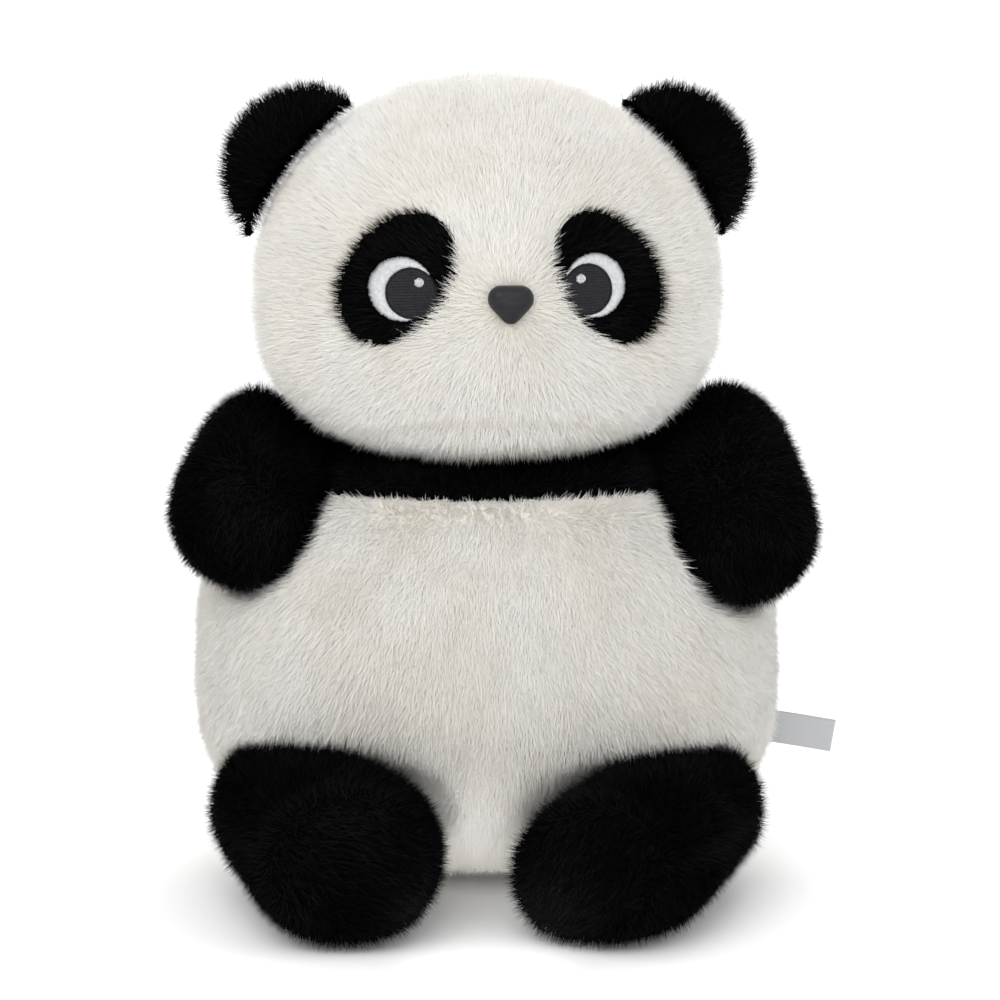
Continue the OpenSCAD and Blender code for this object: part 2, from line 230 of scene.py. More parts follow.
def voxel_grid(nodes, voxel):
    """The outer surface of the given CAD nodes together, as an even grid of quads."""
    source = new_mesh("form", *cad_arrays(nodes), False)
    mod = source.modifiers.new("grid", "REMESH")
    mod.mode = "VOXEL"
    mod.voxel_size = voxel * MM
    mesh = evaluated(source)
    co = np.empty(len(mesh.vertices) * 3)
    mesh.vertices.foreach_get("co", co)
    quads = np.empty(len(mesh.polygons) * 4, np.int32)
    mesh.polygons.foreach_get("vertices", quads)
    bpy.data.meshes.remove(mesh)
    bpy.data.objects.remove(source)
    return largest_island(co.reshape(-1, 3) / MM, quads.reshape(-1, 4))


# ---------------------------------------------------------------- stuffed skins

SKIN_INSET = 2.0        # the pile stands on a skin this far inside the CAD surface
SKIN_GRID = 4.0         # voxel size of the remeshed skins
SKIN_SMOOTHING = 6      # rounds
PINNED = 2.5            # the cloth simulation holds a skin this close to a seam
PUFF_FRAMES = 20
PUFF_CAP = 1.6          # the farthest the cloth simulation may move a skin
SEAM_DEPTH = 1.2        # how far a seam pulls the skin in, and how wide the dent is
SEAM_REACH = 3.5
MOUTH_DEPTH = 2.6
MOUTH_HALF = 46.0       # the mouth's crease fades out this far from the middle

BODIES = {
    "torso": dict(covers=["belly_panel", "right_back_panel", "left_back_panel", "chest_band",
                          "shoulder_panel", "seat_panel"], stuffing=["torso_stuffing"],
                  black=["chest_band", "shoulder_panel"], fill=0.8),
    "head": dict(covers=["face_panel", "chin_panel", "right_head_panel", "left_head_panel",
                         "right_eye_patch", "left_eye_patch"], stuffing=["head_stuffing"],
                 black=["right_eye_patch", "left_eye_patch"], fill=0.85,
                 bare=[f"{s}_{part}" for s in SIDES for part in ("eye_white", "iris", "glint")]),
    "neck": dict(covers=["neck_sleeve"], stuffing=["neck_stuffing"], black=["neck_sleeve"], fill=0.9),
    "tail": dict(covers=["tail_panel"], stuffing=["tail_stuffing"], black=[], fill=0.7),
}
for s in SIDES:
    BODIES[f"{s}_ear"] = dict(covers=[f"{s}_ear_front", f"{s}_ear_back"],
                              stuffing=[f"{s}_ear_stuffing"],
                              black=[f"{s}_ear_front", f"{s}_ear_back"], fill=0.5)
    BODIES[f"{s}_arm"] = dict(covers=[f"{s}_arm_outer", f"{s}_arm_inner"],
                              stuffing=[f"{s}_arm_stuffing"],
                              black=[f"{s}_arm_outer", f"{s}_arm_inner"], fill=0.8)
    BODIES[f"{s}_leg"] = dict(covers=[f"{s}_leg_upper", f"{s}_leg_under", f"{s}_foot_sole"],
                              stuffing=[f"{s}_leg_stuffing"],
                              black=[f"{s}_leg_upper", f"{s}_leg_under", f"{s}_foot_sole"], fill=0.85)


def seam_distance(points, trees):
    """Distance along the surface to the nearest seam, each point's panel, and the one across."""
    d = np.array([[tree.find_nearest(p)[3] for p in points.tolist()] for tree in trees])
    if len(trees) == 1:
        return np.full(len(points), 1e3), np.zeros(len(points), int), np.zeros(len(points), int)
    order = np.argsort(d, axis=0, kind="stable")
    best = np.take_along_axis(d, order, 0)
    return np.sqrt(np.maximum(0, best[1] ** 2 - best[0] ** 2)), order[0], order[1]


def remeshed_skin(body):
    """A body's outer surface as an even grid of quads, a little inside its CAD surface."""
    spec = BODIES[body]
    co, quads = voxel_grid(spec["covers"] + spec["stuffing"] + spec.get("bare", []), SKIN_GRID)
    co = smoothed(co, quads, SKIN_SMOOTHING)
    n = vertex_normals(co, quads)
    return co - SKIN_INSET * n, quads


def puff(skins):
    """Cloth with pressure from inside, held at the seams, so that the panels swell between them."""
    for obj in skins.values():
        cloth = obj.modifiers.new("cloth", "CLOTH")
        s = cloth.settings
        s.quality = 4
        s.mass = 0.2
        s.tension_stiffness = 20
        s.compression_stiffness = 20
        s.shear_stiffness = 10
        s.bending_stiffness = 1.0
        s.use_pressure = True
        s.uniform_pressure_force = 4
        s.effector_weights.gravity = 0
        s.vertex_group_mass = "seams"
        s.pin_stiffness = 1
        cloth.collision_settings.use_collision = False
        cloth.point_cache.frame_start = 1
        cloth.point_cache.frame_end = PUFF_FRAMES
    for f in range(1, PUFF_FRAMES + 1):
        scene.frame_set(f)
    for obj in skins.values():
        rest, _ = mesh_arrays(obj.data)
        mesh = evaluated(obj)
        moved, _ = mesh_arrays(mesh)
        bpy.data.meshes.remove(mesh)
        step = moved - rest
        size = np.linalg.norm(step, axis=1)
        step *= (PUFF_CAP * np.tanh(size / PUFF_CAP) / np.maximum(size, 1e-9))[:, None]
        obj.modifiers.clear()
        obj.data.vertices.foreach_set("co", ((rest + step) * MM).ravel())
        obj.data.update()
    scene.frame_set(1)


def on_mouth(body, which, across):
    """True where the nearest seam is the one between the face and the chin."""
    if body != "head":
        return np.zeros(len(which), bool)
    pair = {BODIES["head"]["covers"].index(n) for n in ("face_panel", "chin_panel")}
    return np.isin(which, list(pair)) & np.isin(across, list(pair)) & (which != across)


def at_band(body, which, across):
    """True where the nearest seam is the edge of the black band round the body."""
    spec = BODIES[body]
    is_black = np.isin(spec["covers"], spec["black"])
    return is_black[which] != is_black[across] if body == "torso" else np.zeros(len(which), bool)


def seamed_skin(body, trees):
    """A body's skin with its seams pulled in, and the mouth's more than the others."""
    co, quads = remeshed_skin(body)
    dist, which, across = seam_distance(co, trees)
    n = vertex_normals(co, quads)
    fade = np.exp(-(co[:, 0] / MOUTH_HALF) ** 4)
    depth = np.where(on_mouth(body, which, across), MOUTH_DEPTH * fade, SEAM_DEPTH)
    depth *= np.exp(-(dist / SEAM_REACH) ** 2)
    obj = new_mesh(f"{body}_skin", co - depth[:, None] * n, quads)
    group = obj.vertex_groups.new(name="seams")
    group.add(np.nonzero(dist < PINNED)[0].tolist(), 1.0, "REPLACE")
    return obj


def finish_skin(body, obj):
    """Rounds a skin, gives each panel its colour, hides its CAD nodes and fixes it to its body."""
    spec = BODIES[body]
    sub = obj.modifiers.new("round", "SUBSURF")
    sub.levels = sub.render_levels = 1
    mesh = evaluated(obj)
    obj.modifiers.clear()
    old = obj.data
    obj.data = mesh
    bpy.data.meshes.remove(old)
    obj.vertex_groups.clear()
    mesh.name = obj.name
    mesh.materials.clear()
    if spec["black"] and len(spec["black"]) < len(spec["covers"]):
        mesh.materials.append(cream_backing)
        mesh.materials.append(black_backing)
        centre = np.empty(len(mesh.polygons) * 3)
        mesh.polygons.foreach_get("center", centre)
        which = seam_distance(centre.reshape(-1, 3) / MM, seam_info[body])[1]
        is_black = np.isin(spec["covers"], spec["black"])
        mesh.polygons.foreach_set("material_index", is_black[which].astype(np.int32))
    else:
        mesh.materials.append(black_backing if spec["black"] else cream_backing)
    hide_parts(*spec["covers"], *spec["stuffing"])
    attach(obj, body)


seam_info = {body: [tree_of(*cad_arrays([n])) for n in spec["covers"]] for body, spec in BODIES.items()}
skins = {body: seamed_skin(body, seam_info[body]) for body in BODIES}
puff(skins)
for body, obj in skins.items():
    finish_skin(body, obj)


# ---------------------------------------------------------------- pile

def lattice(seed):
    return np.random.default_rng(seed).uniform(-1, 1, (32, 32, 32, 3))


LATTICES = [lattice(seed) for seed in (5, 6, 7)]


def flow_noise(p, scale, which=0):
    """A smooth random vector at each point, which changes over about scale millimetres."""
    q = p / scale + 40.3
    i = np.floor(q).astype(int)
    f = q - i
    f = f * f * (3 - 2 * f)
    grid = LATTICES[which]
    out = 0
    for dx in (0, 1):
        for dy in (0, 1):
            for dz in (0, 1):
                w = (np.abs(1 - dx - f[:, 0]) * np.abs(1 - dy - f[:, 1]) * np.abs(1 - dz - f[:, 2]))
                out = out + w[:, None] * grid[(i[:, 0] + dx) % 32, (i[:, 1] + dy) % 32, (i[:, 2] + dz) % 32]
    return out


def scatter(co, tri, per_mm2):
    """Points spread over a triangle mesh, as positions, corner weights and triangle numbers."""
    a, b, c = co[tri[:, 0]], co[tri[:, 1]], co[tri[:, 2]]
    cross = np.cross(b - a, c - a)
    area = 0.5 * np.linalg.norm(cross, axis=1)
    count = np.floor(area * per_mm2 + rng.random(len(tri))).astype(int)
    which = np.repeat(np.arange(len(tri)), count)
    u, v = rng.random(len(which)), rng.random(len(which))
    flip = u + v > 1
    u, v = np.where(flip, 1 - u, u), np.where(flip, 1 - v, v)
    p = a[which] + u[:, None] * (b - a)[which] + v[:, None] * (c - a)[which]
    w = np.stack([1 - u - v, u, v], 1)
    return p, w, which


def skin_arrays(body):
    """Positions, triangles and vertex normals of a finished skin."""
    co, tri = mesh_arrays(skins[body].data)
    return co, tri, vertex_normals(co, tri)


SKINS = {body: skin_arrays(body) for body in BODIES}


def others_tree(body):
    """A search tree over every other body's skin."""
    return tree_of(*merged((v, t) for other, (v, t, _) in SKINS.items() if other != body))


def box_centre(*nodes):
    lows, highs = zip(*[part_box(n) for n in nodes])
    lo = np.array(lows).min(0) / MM
    hi = np.array(highs).max(0) / MM
    return (lo + hi) / 2, lo, hi


NOSE = box_centre("nose")[0] + np.array([0, -4, 0])
TAIL = box_centre("tail_panel")[0]
TAIL_ROOT = np.array([0, 60.0, 60.0])
TAIL_R = 22.0           # the tail's socket in the body
TAIL_REACH = 6.0


def joint_place(body):
    """Where the record hinges a body, in millimetres."""
    joints = frame["record"]["behaviour"]["joints"]
    return np.array(next(j["pos_m"] for j in joints if j["child"] == body)) / MM


def comb_torso(p, n):
    """Downward, and around the tail in towards its root."""
    down = np.stack([p[:, 0] * 0.004, np.full(len(p), -0.15), np.full(len(p), -1.0)], 1)
    inward = TAIL - p
    near = np.exp(-np.maximum(0, np.linalg.norm(inward, axis=1) - TAIL_R) ** 2 / TAIL_REACH ** 2)[:, None]
    return down * (1 - near) + unit(inward) * near


def comb_head(p, n):
    out = unit(p - NOSE)
    back = np.clip((p[:, 1] + 10) / 50, 0, 1)[:, None]
    down = np.array([0, 0, -1.0])
    return out * (1 - back) + (0.3 * out + down) * back


def comb_from(place, fall=0.0):
    """Away from a place, with some of the way downward."""
    def field(p, n):
        return unit(p - place) + np.array([0, 0, -fall])
    return field


def comb_limb(body):
    """Along the limb from its root to its end, then outward over the end."""
    inner = box_centre(*BODIES[body]["covers"])[0]
    root = joint_place(body)
    axis = unit(inner - root)
    def field(p, n):
        return axis + 0.6 * unit(p - inner)
    return field


def comb_tail(p, n):
    """Outward to the tip, and at the root's edge back over the seam with the body."""
    back = np.clip((TAIL[1] + 2 - p[:, 1]) / 4, 0, 1)[:, None]
    return comb_from(TAIL_ROOT, 0.3)(p, n) * (1 - back) + np.array([0, -1.0, 0]) * back


COMBS = {"torso": comb_torso, "head": comb_head, "tail": comb_tail}
for s, side in SIDES.items():
    COMBS[f"{s}_arm"] = comb_limb(f"{s}_arm")
    COMBS[f"{s}_leg"] = comb_limb(f"{s}_leg")
    COMBS[f"{s}_ear"] = comb_from(np.array([side * 60, -5.0, 262.0]))

# pile layers: strands per mm2, length, width, lean from upright in degrees, jitter, first tint
LAYERS = {
    "cream": [dict(n=1.25, length=6.5, width=0.55, lean=48, jitter=0.14, tint=0),
              dict(n=1.15, length=8.5, width=0.28, lean=48, jitter=0.19, tint=3)],
    "black": [dict(n=1.05, length=5.5, width=0.55, lean=38, jitter=0.18, tint=0),
              dict(n=1.05, length=8.0, width=0.25, lean=36, jitter=0.22, tint=3)],
}
MAX_STRANDS = 60000     # in one piece of pile
MIN_LENGTH = 1.5
ROOT_DEPTH = 0.5        # strands start this far inside the skin
MIN_Z = 0.3             # no strand goes under what the panda sits on
SEAT_Z = 6.0            # below this the pile is thin, as it is pressed flat by what it sits on
SEAT_SHARE = 0.4        # the share of it that still stands there
EDGE = 4.0              # roots this close to a seam are sorted one by one between its two colours
RIM_REACH = 4.5         # the pile stands up this far around a seam, and black pile there is tinted paler as a painted highlight
LEG_RIM = 0.9           # and by this much, most of all on the legs
RIM = 0.35
BARE_RIM = 1.3          # the pile is trimmed this far around the embroidery
CREASE_REACH = 3.5      # half width of the short pile in the mouth's crease, whose tints are darkened there as painted shade
BAND_REACH = 4.0        # half width of the pile that stands up along the black band
FAR = 20.0              # stands for no seam of that kind nearby
CROWDED = 6.0           # cream body pile this close to another body lies short beside it
BESIDE = 14.0           # black body pile this close to another body stands up against it
LOOK_AHEAD = 7.0        # how far in front of the skin another body is looked for
ROOM = 3.0              # the pile needs this much room in front of another body
TAIL_ROOM = 0.8         # and the tail's only this
UNDER_LIGHT = np.array([0, -0.7, 0.5])  # turns the shading of pale pile that faces down to the front


def strands(root, direction, length, width, upright):
    """Three-sided spikes with their roots in the skin, and normals to shade them by.
    The normals lean towards the skin's own, as light scatters through real pile."""
    k = len(root)
    helper = np.where(np.abs(direction[:, 2:3]) < 0.9, np.array([[0, 0, 1.0]]), np.array([[1.0, 0, 0]]))
    e1 = unit(np.cross(direction, helper))
    e2 = np.cross(direction, e1)
    turn = rng.random(k) * 2 * math.pi
    co = np.empty((k, 4, 3))
    shade = np.empty((k, 4, 3))
    for i in range(3):
        a = turn + i * 2 * math.pi / 3
        out = np.cos(a)[:, None] * e1 + np.sin(a)[:, None] * e2
        co[:, i] = root + (width / 2)[:, None] * out
        shade[:, i] = unit(upright + 0.5 * out)
    co[:, 3] = root + direction * length[:, None]
    shade[:, 3] = unit(upright + 0.25 * direction)
    faces = np.array([[0, 1, 3], [1, 2, 3], [2, 0, 3]])
    all_faces = (np.arange(k)[:, None, None] * 4 + faces).reshape(-1, 3)
    return co.reshape(-1, 3), all_faces, shade.reshape(-1, 3)


def roots_of(body, colour, layer, skin, seams, free):
    """Where one layer's strands stand: place, normal, distances to a seam, the mouth and the band."""
    co, tri, vn = skin
    dist, which, mouth, band = seams
    spec = BODIES[body]
    ids = [i for i, n in enumerate(spec["covers"]) if (n in spec["black"]) == (colour == "black")]
    edge = dist[tri].min(1) < EDGE
    pick = free & (np.isin(which[tri[:, 0]], ids) | edge)
    p, w, tri_no = scatter(co, tri[pick], layer["n"])
    corner = tri[pick][tri_no]
    n = unit((vn[corner] * w[:, :, None]).sum(1))
    near_seam = (dist[corner] * w).sum(1)
    near_mouth = (np.where(mouth, dist, FAR)[corner] * w).sum(1)
    near_band = (np.where(band, dist, FAR)[corner] * w).sum(1)
    is_edge = edge[pick][tri_no]
    ok = np.ones(len(p), bool)
    if is_edge.any():
        at_edge = p[is_edge]
        sorted_in = np.isin(seam_distance(at_edge, pile_trees[body])[1], ids)
        for tree in pile_trees[body][len(spec["covers"]):]:
            sorted_in &= np.array([tree.find_nearest(q, BARE_RIM)[0] is None for q in at_edge.tolist()])
        ok[is_edge] = sorted_in
    ok &= (p[:, 2] > SEAT_Z) | (rng.random(len(p)) < SEAT_SHARE)
    return p[ok], n[ok], near_seam[ok], near_mouth[ok], near_band[ok]


def strands_of(body, colour, layer, roots, rivals):
    """One layer's strands as root, direction, length, width, normal and tint."""
    p, n, near_seam, near_mouth, near_band = roots
    k = len(p)
    comb = COMBS[body](p, n)
    t = unit(comb - (comb * n).sum(1, keepdims=True) * n)
    sway = flow_noise(p, 5.0, 0) * 0.20 + flow_noise(p, 16.0, 1) * 0.20
    sway -= (sway * n).sum(1, keepdims=True) * n * 0.5
    # seams stand their pile up into a rim, and black pile in it takes paler tints as a painted highlight
    rim = np.exp(-(near_seam / RIM_REACH) ** 2) * (LEG_RIM if body.endswith("leg") else RIM)
    band = np.exp(-(near_band / BAND_REACH) ** 2)
    lean = math.radians(layer["lean"]) * (1 + 0.2 * flow_noise(p, 8.0, 2)[:, 0]) * (1 - 0.6 * rim)
    if body == "torso":
        gap = np.array([rivals.find_nearest(q, BESIDE)[3] or BESIDE for q in p.tolist()])
        if colour == "cream":
            # the belly's pile stands up a little in front of the black band
            lean *= 1 - 0.65 * band
        else:
            # and the shoulders' stands up against the head and the arms
            lean *= gap / BESIDE
    d = n * np.cos(lean)[:, None] + t * np.sin(lean)[:, None] + sway
    d = unit(d + rng.normal(0, layer["jitter"], (k, 3)))
    d = unit(d + np.maximum(0, 0.2 - (d * n).sum(1, keepdims=True)) * n)
    length = layer["length"] * rng.uniform(0.75, 1.12, k)
    crease = np.exp(-(near_mouth / CREASE_REACH) ** 2 - (p[:, 0] / MOUTH_HALF) ** 4)
    length *= 1 - 0.4 * crease - 0.3 * band
    if body == "torso" and colour == "cream":
        length *= np.clip(gap / CROWDED, 0.5, 1)
    width = layer["width"] * rng.uniform(0.8, 1.2, k)
    root = p - ROOT_DEPTH * n
    # a strand stops short of any other body
    hit = np.array([rivals.ray_cast(a, b, c)[3] or FAR
                    for a, b, c in zip(root.tolist(), d.tolist(), length.tolist())])
    length = np.minimum(length, hit * 0.95)
    # and stays above the floor
    low = root[:, 2] + d[:, 2] * length < MIN_Z
    d[low, 2] = (MIN_Z - root[low, 2]) / length[low]
    ok = (length > MIN_LENGTH) & (root[:, 2] > MIN_Z + 0.35)
    tone = (flow_noise(p, 22.0, 1)[:, 0] * 1.2 + rng.normal(0, 0.45, k)) * 1.4 + 1
    # painted highlight: black pile near a seam takes paler tints
    # painted shade: cream pile in the mouth's crease takes darker tints
    tone += 1.3 * rim if colour == "black" else -2.0 * crease
    tint = np.rint(np.clip(tone, 0, 2)).astype(int) + layer["tint"]
    return [a[ok] for a in (root, d, length, width, n, tint)]


def grow(body):
    """Covers a body's skin with pile, in pieces of one colour each."""
    co, tri, vn = SKINS[body]
    rivals = others_tree(body)
    dist, which, across = seam_distance(co, pile_trees[body])
    seams = dist, which, on_mouth(body, which, across), at_band(body, which, across)
    # pile can't stand where the skin lies against another body
    tri_n = unit(np.cross(co[tri[:, 1]] - co[tri[:, 0]], co[tri[:, 2]] - co[tri[:, 0]]))
    start = co[tri].mean(1) + 0.05 * tri_n
    room = np.array([rivals.ray_cast(p, d, LOOK_AHEAD)[3] or FAR
                     for p, d in zip(start.tolist(), tri_n.tolist())])
    free = room > (TAIL_ROOM if body == "tail" else ROOM)
    for colour in ("cream", "black"):
        parts = []
        for layer in LAYERS[colour]:
            roots = roots_of(body, colour, layer, (co, tri, vn), seams, free)
            if len(roots[0]):
                parts.append(strands_of(body, colour, layer, roots, rivals))
        if not parts:
            continue
        root, d, length, width, up, tint = (np.concatenate(x) for x in zip(*parts))
        # light from the front scatters down into the pale pile under the chin and the belly
        under = np.clip(-up[:, 2:3], 0, 1) if colour == "cream" else 0
        lit = unit(up + under * UNDER_LIGHT)
        # pieces by height, so that each is one patch of pile
        order = np.argsort(root[:, 2], kind="stable")
        pieces = max(1, math.ceil(len(order) / MAX_STRANDS))
        for i, part in enumerate(np.array_split(order, pieces)):
            v, f, shade = strands(root[part], d[part], length[part], width[part], lit[part])
            obj = new_mesh(f"{body}_{colour}_pile_{i + 1}", v, f)
            obj.data.normals_split_custom_set_from_vertices(shade.astype(np.float32))
            for m in fur_looks[colour]:
                obj.data.materials.append(m)
            obj.data.polygons.foreach_set("material_index", np.repeat(tint[part], 3).astype(np.int32))
            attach(obj, body)


pile_trees = {body: seam_info[body] + [tree_of(*cad_arrays([n])) for n in spec.get("bare", [])]
              for body, spec in BODIES.items()}
for body in BODIES:
    if body != "neck":
        grow(body)


# ---------------------------------------------------------------- embroidered eyes

HEAD_YAW = math.radians(5.5)        # the head's turn at rest
FACE_X = np.array([math.cos(HEAD_YAW), math.sin(HEAD_YAW), 0])
FACE_IN = np.array([-math.sin(HEAD_YAW), math.cos(HEAD_YAW), 0])
THREAD = 0.36                       # spacing of the embroidery's threads
WHITE_OVER_IRIS = 1.28              # radius of the white over the iris's

white_thread = noise_colour(principled("white_thread", (0.53, 0.54, 0.56), 0.4, Specular_IOR_Level=0.3),
                            (0.47, 0.48, 0.50), (0.60, 0.61, 0.63), 900)
dark_thread = noise_colour(principled("dark_thread", (0.016, 0.016, 0.019), 0.42, Specular_IOR_Level=0.3),
                           (0.010, 0.010, 0.012), (0.021, 0.021, 0.025), 900)
rim_thread = noise_colour(principled("rim_thread", (0.006, 0.006, 0.007), 0.45, Specular_IOR_Level=0.25),
                          (0.004, 0.004, 0.005), (0.008, 0.008, 0.009), 900)

head_co, head_tri, _ = SKINS["head"]
head_surface = tree_of(head_co, head_tri)


def eye_circle(node):
    """A round node's middle along the face and up, and its radius."""
    middle, lo, hi = box_centre(node)
    return np.array([middle @ FACE_X, middle[2]]), (hi[2] - lo[2]) / 2


def on_face(points, height):
    """Puts points given along the face and up on the head's skin, raised by height."""
    out = []
    for (x, z), h in zip(points, height):
        start = FACE_X * x - FACE_IN * 160 + np.array([0, 0, z])
        place, normal, _, _ = head_surface.ray_cast(start, FACE_IN)
        out.append(np.array(place) + np.array(normal) * h)
    return np.array(out)


def stitches(name, starts, ends, base, bulge, width, look):
    """Threads from each start to each end: flat tubes that rise from the cloth and dive back in."""
    steps = np.linspace(0, 1, 7)
    k = len(starts)
    flat = starts[:, None] * (1 - steps)[:, None] + ends[:, None] * steps[:, None]
    rise = base + bulge * np.sin(math.pi * steps) ** 0.5
    line = on_face(flat.reshape(-1, 2), np.tile(rise, k)).reshape(k, 7, 3)
    along = unit(np.gradient(line, axis=1))
    up = -FACE_IN
    side = unit(np.cross(along, up))
    half = width / 2 * (0.35 + 0.65 * np.sin(math.pi * steps) ** 0.4)[None, :, None]
    ring = np.stack([line + side * half, line + up * half * 0.7,
                     line - side * half, line - up * half * 0.7], 2)
    i = np.arange(6)[:, None] * 4 + np.array([[0, 1, 2, 3]])
    j = np.arange(6)[:, None] * 4 + np.array([[1, 2, 3, 0]])
    sides = np.stack([i, j, j + 4, i + 4], -1).reshape(-1, 4)
    caps = np.array([[3, 2, 1, 0], [24, 25, 26, 27]])
    faces = np.concatenate([sides, caps])
    obj = new_mesh(name, ring.reshape(-1, 3), (np.arange(k)[:, None, None] * 28 + faces).reshape(-1, 4))
    obj.data.materials.append(look)
    return obj


def fill_stitches(centre, radius, tilt, stitch):
    """Rows of short stitches that fill a disc, staggered like bricks."""
    starts, ends = [], []
    for row, v in enumerate(np.arange(-radius + THREAD / 2, radius, THREAD)):
        reach = math.sqrt(radius ** 2 - v ** 2)
        cuts = np.arange(-radius - stitch * (row % 3) / 3, radius, stitch)
        cuts = np.unique(np.clip(np.append(cuts, radius), -reach, reach))
        for a, b in zip(cuts[:-1], cuts[1:]):
            if b - a > 0.3:
                starts.append([a - 0.06, v])
                ends.append([b + 0.06, v])
    turn = np.array([[math.cos(tilt), math.sin(tilt)], [-math.sin(tilt), math.cos(tilt)]])
    return np.array(starts) @ turn + centre, np.array(ends) @ turn + centre


def ring_stitches(centre, inner, outer):
    """Satin stitches across a ring."""
    angle = np.arange(0, 2 * math.pi, THREAD / outer)
    ray = np.stack([np.cos(angle), np.sin(angle)], 1)
    ragged = rng.uniform(-0.12, 0.12, (len(angle), 1))
    return centre + ray * inner, centre + ray * (outer + ragged)


def crescent_stitches(iris, iris_r, white, white_r):
    """Satin stitches across the white, from under the iris out to the white's round edge."""
    angle = np.arange(0, 2 * math.pi, THREAD / white_r)
    ray = np.stack([np.cos(angle), np.sin(angle)], 1)
    toward = ray @ (white - iris)
    out = toward + np.sqrt(np.maximum(0, toward ** 2 + white_r ** 2 - ((white - iris) ** 2).sum()))
    keep = out > iris_r + 0.25
    out = (out + rng.uniform(-0.3, 0.15, len(out)))[keep, None]
    return iris + ray[keep] * (iris_r - 0.5), iris + ray[keep] * out


for s, side in SIDES.items():
    iris, iris_r = eye_circle(f"{s}_iris")
    glint, glint_r = eye_circle(f"{s}_glint")
    middle, lo, hi = box_centre(f"{s}_eye_white")
    white_r = iris_r * WHITE_OVER_IRIS
    outer_edge = np.array([lo[0] if side < 0 else hi[0], middle[1], 0]) @ FACE_X
    white = np.array([outer_edge - side * white_r, hi[2] - white_r])
    starts, ends = crescent_stitches(iris, iris_r, white, white_r)
    obj = stitches(f"{s}_eye_white_stitches", starts, ends, 0.5, 0.9, 0.46, white_thread)
    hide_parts(f"{s}_eye_white")
    starts, ends = fill_stitches(iris, iris_r - 0.3, math.radians(20), 3.4)
    obj = stitches(f"{s}_iris_stitches", starts, ends, 1.3, 0.18, 0.44, dark_thread)
    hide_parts(f"{s}_iris")
    starts, ends = ring_stitches(iris, iris_r - 0.9, iris_r + 0.1)
    rim = stitches(f"{s}_iris_rim", starts, ends, 1.35, 0.3, 0.42, rim_thread)
    starts, ends = fill_stitches(glint, glint_r, math.radians(90), 2 * glint_r + 1)
    light = stitches(f"{s}_glint_stitches", starts, ends, 1.5, 0.45, 0.44, white_thread)
    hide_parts(f"{s}_glint")
    for piece, slot in ((bpy.data.objects[f"{s}_eye_white_stitches"], "white_thread"), (obj, "dark_thread"),
                        (rim, "dark_thread"), (light, "white_thread")):
        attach(piece, "head")


# ---------------------------------------------------------------- nose, label and inner parts

NOSE_GRID = 0.6
NOSE_SMOOTHING = 14
nose_look = noise_colour(principled("nose_plastic", (0.011, 0.0115, 0.013), 0.38, Specular_IOR_Level=0.22),
                         (0.009, 0.0095, 0.011), (0.013, 0.0135, 0.015), 300, 8)
co, quads = voxel_grid(["nose"], NOSE_GRID)
nose = new_mesh("moulded_nose", smoothed(co, quads, NOSE_SMOOTHING), quads)
nose.data.materials.append(nose_look)
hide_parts("nose")
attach(nose, "head")

TAPE_T = 0.35
LABEL_TILT = math.radians(9.5)
LABEL_OUT = np.array([math.cos(LABEL_TILT), 0, -math.sin(LABEL_TILT)])
LABEL_UP = np.array([math.sin(LABEL_TILT), 0, math.cos(LABEL_TILT)])
TAPE_W = 13.0
TAPE_L = 26.0           # once folded
TAPE_GAP = 0.32         # between its two layers
LABEL_IN = 2.2          # its root goes into the pile by this much
label_root = joint_place("label") - LABEL_IN * LABEL_OUT


def folded_tape(name, root, reach):
    """A tape folded in two at its outer end: its two layers, the bend, and its slightly raised edges."""
    gap = TAPE_GAP
    turn = np.linspace(-math.pi / 2, math.pi / 2, 9)
    run = np.linspace(0, reach - gap - TAPE_T, 22)
    u = np.concatenate([run, run[-1] + (gap / 2 + TAPE_T / 2) * np.cos(turn), run[::-1]])
    v = np.concatenate([np.full(22, -1.0), np.sin(turn), np.full(22, 1.0)]) * (gap / 2 + TAPE_T / 2)
    path = np.stack([u, v], 1)
    across = np.linspace(-0.5, 0.5, 27)
    bow = 0.5 * np.sin(math.pi * u / reach * 0.9)
    tangent = unit(np.gradient(path, axis=0))
    normal = np.stack([-tangent[:, 1], tangent[:, 0]], 1)
    layers = []
    for face in (-1, 1):
        hem = 1 + 0.35 * (np.abs(across) > 0.45)
        off = face * TAPE_T / 2 * hem
        pu = u[:, None] + normal[:, 0:1] * off[None]
        pv = v[:, None] + normal[:, 1:2] * off[None] + bow[:, None]
        layers.append(root + pu[..., None] * LABEL_OUT + pv[..., None] * np.array([0, 1.0, 0])
                      + (across * TAPE_W)[None, :, None] * LABEL_UP)
    rows, cols = layers[0].shape[:2]
    co = np.concatenate([a.reshape(-1, 3) for a in layers])
    i, j = np.meshgrid(np.arange(rows - 1), np.arange(cols - 1), indexing="ij")
    a = (i * cols + j).ravel()
    inner = np.stack([a, a + 1, a + cols + 1, a + cols], 1)
    outer = inner[:, ::-1] + rows * cols
    ends = []
    for line in (np.arange(rows) * cols, np.arange(rows) * cols + cols - 1,
                 np.arange(cols), np.arange(cols) + (rows - 1) * cols):
        ends.append(np.stack([line[:-1], line[1:], line[1:] + rows * cols, line[:-1] + rows * cols], 1))
    return new_mesh(name, co, np.concatenate([inner, outer] + ends)), float(
        np.linalg.norm(np.diff(path, axis=0), axis=1).sum())


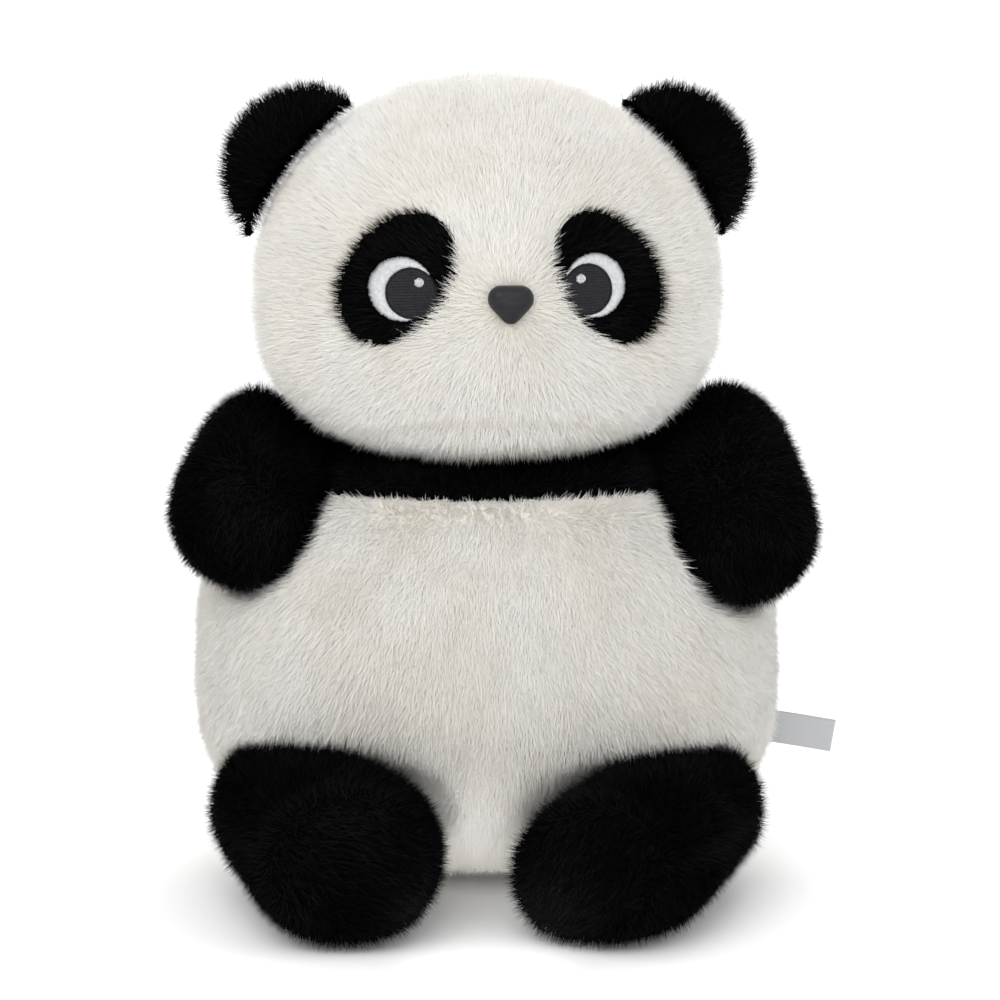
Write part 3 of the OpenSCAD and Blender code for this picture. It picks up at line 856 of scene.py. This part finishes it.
def woven(m, dark, light, scale):
    """Fine ribs across a tape, as bands of two tones."""
    t = m.node_tree
    place = t.nodes.new("ShaderNodeTexCoord")
    wave = t.nodes.new("ShaderNodeTexWave")
    wave.wave_type = "BANDS"
    wave.bands_direction = "Z"
    wave.inputs["Scale"].default_value = scale
    wave.inputs["Distortion"].default_value = 1.5
    tones = t.nodes.new("ShaderNodeValToRGB")
    tones.color_ramp.elements[0].color = (*dark, 1)
    tones.color_ramp.elements[1].color = (*light, 1)
    t.links.new(place.outputs["Object"], wave.inputs["Vector"])
    t.links.new(wave.outputs["Fac"], tones.inputs["Fac"])
    t.links.new(tones.outputs["Color"], t.nodes["Principled BSDF"].inputs["Base Color"])
    return m


label_look = woven(principled("label_tape", (0.38, 0.385, 0.40), 0.55, Specular_IOR_Level=0.3),
                   (0.40, 0.405, 0.42), (0.47, 0.475, 0.49), 420)
label, tape_length = folded_tape("folded_label", label_root, TAPE_L)
label.data.materials.append(label_look)
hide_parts("seam_label")
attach(label, "label")

INNER_LOOKS = {
    "pouch_cloth": (["bead_pouch_top", "bead_pouch_bottom"], (0.72, 0.72, 0.69), (0.80, 0.80, 0.78)),
    "bead_plastic": (["beads"], (0.80, 0.80, 0.77), (0.90, 0.90, 0.88)),
    "washer_plastic": (["nose_washer"], (0.82, 0.82, 0.81), (0.88, 0.88, 0.87)),
}
for slot, (nodes, dark, light) in INNER_LOOKS.items():
    look = noise_colour(principled(slot, light, 0.6), dark, light, 700)
    for node in nodes:
        NODES[node].data.materials.clear()
        NODES[node].data.materials.append(look)


# ---------------------------------------------------------------- camera, light, floor

FLOOR = 6000.0
corners = np.array([[-1, -1, 0], [1, -1, 0], [1, 1, 0], [-1, 1, 0]]) * FLOOR
floor = new_mesh("floor", corners, np.array([[0, 1, 2, 3]]), False)
floor_look = principled("floor_white", (0.95, 0.95, 0.95), 0.9, Specular_IOR_Level=0.0)
floor.data.materials.append(noise_colour(floor_look, (0.94, 0.94, 0.94), (0.96, 0.96, 0.96), 3))

world = bpy.data.worlds.new("studio")
scene.world = world
world.use_nodes = True
world.node_tree.nodes["Background"].inputs["Color"].default_value = (1, 1, 1, 1)
world.node_tree.nodes["Background"].inputs["Strength"].default_value = 1.2


def area_light(name, place, aim, size, power, spread=180):
    data = bpy.data.lights.new(name, "AREA")
    data.shape = "RECTANGLE"
    data.size, data.size_y = size
    data.energy = power
    data.spread = math.radians(spread)
    obj = bpy.data.objects.new(name, data)
    scene.collection.objects.link(obj)
    obj.location = place
    obj.rotation_mode = "QUATERNION"
    obj.rotation_quaternion = (Vector(aim) - Vector(place)).to_track_quat("-Z", "Y")
    obj.visible_camera = False
    return obj


area_light("key", (-0.3, -1.2, 1.15), (0, 0, 0.2), (1.1, 0.8), 7)
area_light("low", (0.1, -1.35, 0.10), (0, 0, 0.05), (1.2, 0.2), 2.2)
area_light("rim", (0.2, 1.0, 1.0), (0, 0, 0.2), (1.2, 0.6), 4)
area_light("bounce", (0, -0.18, 0.008), (0, -0.08, 0.010), (0.05, 0.012), 0.01, 60)

camera_data = bpy.data.cameras.new("camera")
camera = bpy.data.objects.new("camera", camera_data)
scene.collection.objects.link(camera)
camera_data.sensor_width = 36
camera_data.lens = 108
camera_data.dof.use_dof = False
camera.location = (0.0052, -1.188, 0.314)
camera.rotation_mode = "QUATERNION"
camera.rotation_quaternion = (Vector((0.0052, 0, 0.147)) - camera.location).to_track_quat("-Z", "Y")
scene.camera = camera
scene.view_settings.view_transform = "Standard"
scene.cycles.use_denoising = True
